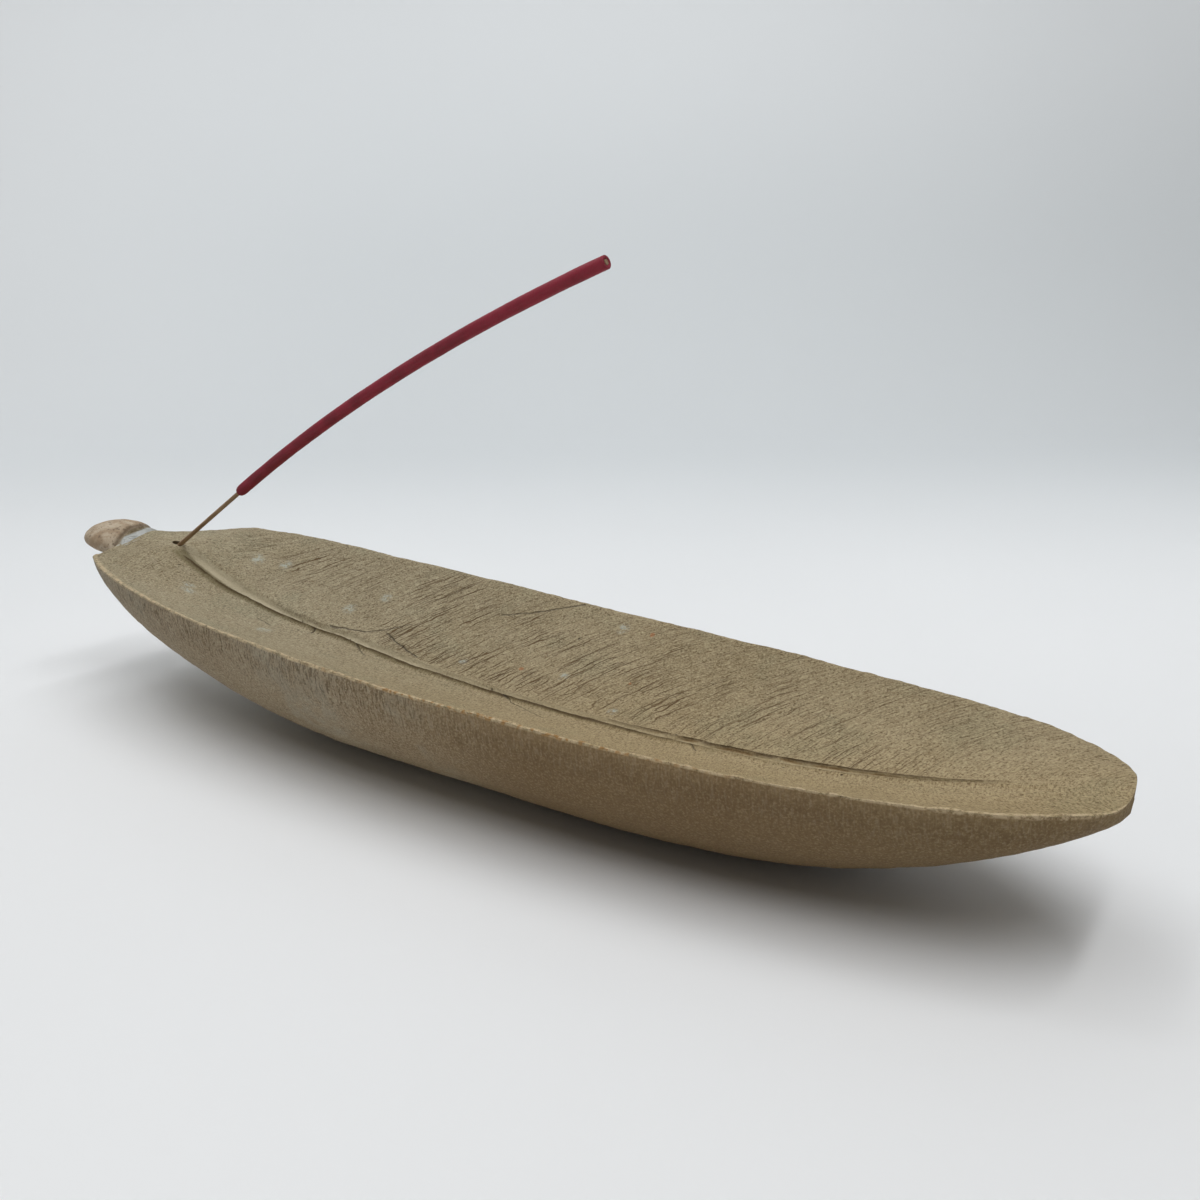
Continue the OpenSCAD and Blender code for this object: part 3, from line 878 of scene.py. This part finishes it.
def paper():
    """The pale sweep that the object stands on, with painted shade toward its back."""
    k = Nodes("paper")
    place = k.place()
    tone = k.noise(place, 3.0, 2.0)
    body = k.mix(k.span(tone, 0.3, 0.7), colour(0.80, 0.81, 0.82), colour(0.83, 0.84, 0.85))
    split = k.new("ShaderNodeSeparateXYZ", {"Vector": place})
    x, y, z = (split.outputs[axis] for axis in "XYZ")
    turn_sin, turn_cos = 0.562, 0.827  # the sweep stands turned about Z, like its mesh
    depth = k.add(k.mul(x, -turn_sin), k.mul(y, turn_cos))
    across = k.add(k.mul(x, turn_cos), k.mul(y, turn_sin))
    # painted shade: greyer toward the back of the sweep, less so high up and on the left, where the
    # lamps' light falls off
    backdrop_shade = k.mul(k.span(depth, 0.05, 0.52), k.span(z, 0.12, 0.42, 1.0, 0.4))
    body = k.mix(k.mul(backdrop_shade, k.span(across, -0.75, -0.1, 0.35, 1.0)), body, colour(0.63, 0.655, 0.67))
    k.put(k.shader.inputs["Base Color"], body)
    k.put(k.shader.inputs["Roughness"], k.span(tone, 0.3, 0.7, 0.55, 0.65))
    k.put(k.shader.inputs["Normal"], k.bump(k.noise(place, 900.0, 2.0), 0.0001, 0.2))
    return k.material


# ---------------------------------------------------------------- pieces
def dress(obj, material, body, slot, *nodes, sharp=55.0):
    """Gives a piece its material, smooth shading and body, and hides the CAD nodes it stands for. The
    slot is not used.
    """
    obj.data.materials.clear()
    obj.data.materials.append(material)
    obj.data.shade_smooth()
    obj.data.set_sharp_from_angle(angle=math.radians(sharp))
    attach(obj, body)
    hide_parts(*nodes)


def leaf_piece():
    obj = blade()
    combine(obj, stem(), "UNION")
    combine(obj, hole_cutter(), "DIFFERENCE")
    paint_leaf(obj)
    dress(obj, stone(), "leaf", "stone", "stone_leaf")


def splint_radius(along, turn):
    """A splint shaved roughly square, its corners rubbed round."""
    square = 0.04 * np.cos(4.0 * turn + 0.6 + 0.01 * along)
    place = xyz(np.cos(turn) * 0.8, np.sin(turn) * 0.8, along * 0.05)
    return SPLINT_D / 2 * (1.0 + square + 0.07 * noise(place, 0.8, 95, 2))


def splint_piece():
    along = np.linspace(0.1 - HOLE_DEPTH, BARE + COATING_LENGTH - 0.05, 260)
    obj = sweep("splint", along, splint_radius, 20)
    dress(obj, bamboo(), "stick", "bamboo", "bamboo_splint")


def coating_piece():
    """The paste: a lumpy tube round the splint, rounded below and cut open at the top."""
    total = BARE + COATING_LENGTH
    sides, long_rings = 40, 240
    bore = SPLINT_D / 2 + 0.12
    nose = np.linspace(0.0, 1.0, 12) * np.pi / 2
    straight = np.linspace(BARE + NOSE + 0.6, total - 0.25, long_rings)
    rise = np.concatenate([BARE + NOSE * (1.0 - np.cos(nose)), straight])
    size = np.concatenate([np.sin(nose) ** 0.8, np.ones(long_rings)])
    outer = bore + (COATING_D / 2 - bore) * size
    inside = np.linspace(total - 1.5, BARE + 1.0, 40)
    along = np.concatenate([rise, [total - 0.07, total, total, total - 0.12], inside])
    cut_end = [COATING_D / 2 - 0.06, COATING_D / 2 - 0.2, 0.95, bore]
    radius = np.concatenate([outer, cut_end, np.full(len(inside), bore)])
    lumpy = np.concatenate([np.clip(size, 0, 1), [1, 1, 0.4, 0], np.zeros(len(inside))])
    turn = np.linspace(0.0, 2.0 * np.pi, sides, endpoint=False)
    a, w = np.meshgrid(along, turn, indexing="ij")
    p0 = xyz(np.cos(w) * 1.6, np.sin(w) * 1.6, a)
    lumps = 0.05 * noise(p0 * [1, 1, 0.25], 1.6, 96, 2) + 0.02 * noise(p0, 0.5, 97)
    r = radius[:, None] + lumps * lumpy[:, None]
    p = stick_place(a, r * np.cos(w), r * np.sin(w)).reshape(-1, 3)
    rings = len(along)
    ring, side = np.meshgrid(np.arange(rings), np.arange(sides), indexing="ij")
    i, j = ring * sides + side, ring * sides + (side + 1) % sides
    k, m = (ring + 1) % rings * sides + (side + 1) % sides, (ring + 1) % rings * sides + side
    faces = np.stack([i, j, k, m], axis=-1).reshape(-1, 4).tolist()
    obj = make_object("coating", p, faces)
    dress(obj, incense(), "stick", "incense", "incense_coating", sharp=60.0)


# ---------------------------------------------------------------- stage
def camera():
    """The camera of the photograph: low, in front of the tip's near side, looking along the leaf."""
    eye = np.array(EYE) * MM
    down, turn = LOOK_DOWN, LOOK_TURN
    ahead = np.array([-math.sin(turn), math.cos(turn), 0.0])
    right = np.array([math.cos(turn), math.sin(turn), 0.0])
    up = ahead * math.sin(down) + np.array([0.0, 0.0, math.cos(down)])
    view = ahead * math.cos(down) - np.array([0.0, 0.0, math.sin(down)])
    data = bpy.data.cameras.new("camera")
    data.sensor_width = SENSOR
    data.lens = SENSOR * FOCAL_PIXELS / FRAME_PIXELS
    data.clip_start = 0.01
    obj = bpy.data.objects.new("camera", data)
    rows = [[right[i], up[i], -view[i], eye[i]] for i in range(3)] + [[0.0, 0.0, 0.0, 1.0]]
    obj.matrix_world = Matrix(rows)
    bpy.context.scene.collection.objects.link(obj)
    bpy.context.scene.camera = obj


def backdrop():
    """A paper sweep: flat under the object, curving up far behind it."""
    turn = np.linspace(0.0, math.pi / 2, 24)
    back, radius = 560.0, 420.0
    floor = [-3000.0, -1000.0, -300.0, 0.0, 300.0, 500.0]
    run = np.concatenate([floor, back + radius * np.sin(turn), [back + radius]])
    rise = np.concatenate([np.zeros(len(floor)), radius * (1.0 - np.cos(turn)), [4000.0]])
    angle = LOOK_TURN
    across = np.linspace(-3500.0, 3500.0, 15)
    r, c = np.meshgrid(np.arange(len(run)), across, indexing="ij")
    depth = run[r]
    x = -depth * math.sin(angle) + c * math.cos(angle)
    y = depth * math.cos(angle) + c * math.sin(angle)
    points = xyz(x, y, rise[r]).reshape(-1, 3)
    rows, columns = len(run), len(across)
    i, j = np.meshgrid(np.arange(rows - 1), np.arange(columns - 1), indexing="ij")
    a = i * columns + j
    faces = np.stack([a, a + 1, a + columns + 1, a + columns], axis=-1).reshape(-1, 4).tolist()
    obj = make_object("sweep", points, faces)
    obj.data.shade_smooth()
    obj.data.materials.append(paper())


def area_light(name, place, target, size, power, tint):
    data = bpy.data.lights.new(name, "AREA")
    data.shape, data.size, data.size_y = "RECTANGLE", size[0], size[1]
    data.energy, data.color = power, tint
    obj = bpy.data.objects.new(name, data)
    away = np.array(place) - np.array(target)
    away = away / np.linalg.norm(away)
    side = np.cross([0.0, 1.0, 0.001], away)
    side = side / np.linalg.norm(side)
    upward = np.cross(away, side)
    rows = [[side[i], upward[i], away[i], place[i]] for i in range(3)] + [[0.0, 0.0, 0.0, 1.0]]
    obj.matrix_world = Matrix(rows)
    bpy.context.scene.collection.objects.link(obj)


def lights():
    """Soft panels overhead, two of them narrow, a wash on the sweep and a pale fill all round."""
    neutral, cool = (0.985, 0.99, 1.0), (0.93, 0.97, 1.0)
    area_light("strip_right", (0.26, -0.15, 1.0), (0.10, -0.15, 0.0), (0.10, 1.3), 4.2, neutral)
    area_light("strip_left", (-0.32, -0.15, 1.0), (0.10, -0.15, 0.0), (0.14, 1.3), 2.1, neutral)
    area_light("overhead", (0.10, -0.10, 1.3), (0.0, 0.0, 0.0), (1.6, 1.0), 4.6, neutral)
    area_light("wash", (-0.7, 0.3, 1.2), (-0.8, 1.3, 0.8), (3.2, 0.3), 8.0, cool)
    area_light("corner", (-0.9, 0.0, 1.0), (-1.05, 0.45, 0.3), (0.6, 0.3), 2.4, cool)
    world = bpy.data.worlds.new("room")
    bpy.context.scene.world = world
    world.use_nodes = True
    back = world.node_tree.nodes["Background"]
    back.inputs["Color"].default_value = (1.0, 0.96, 0.88, 1.0)
    back.inputs["Strength"].default_value = 0.17
    bpy.context.scene.view_settings.view_transform = "Standard"


camera()
backdrop()
lights()
leaf_piece()
splint_piece()
coating_piece()
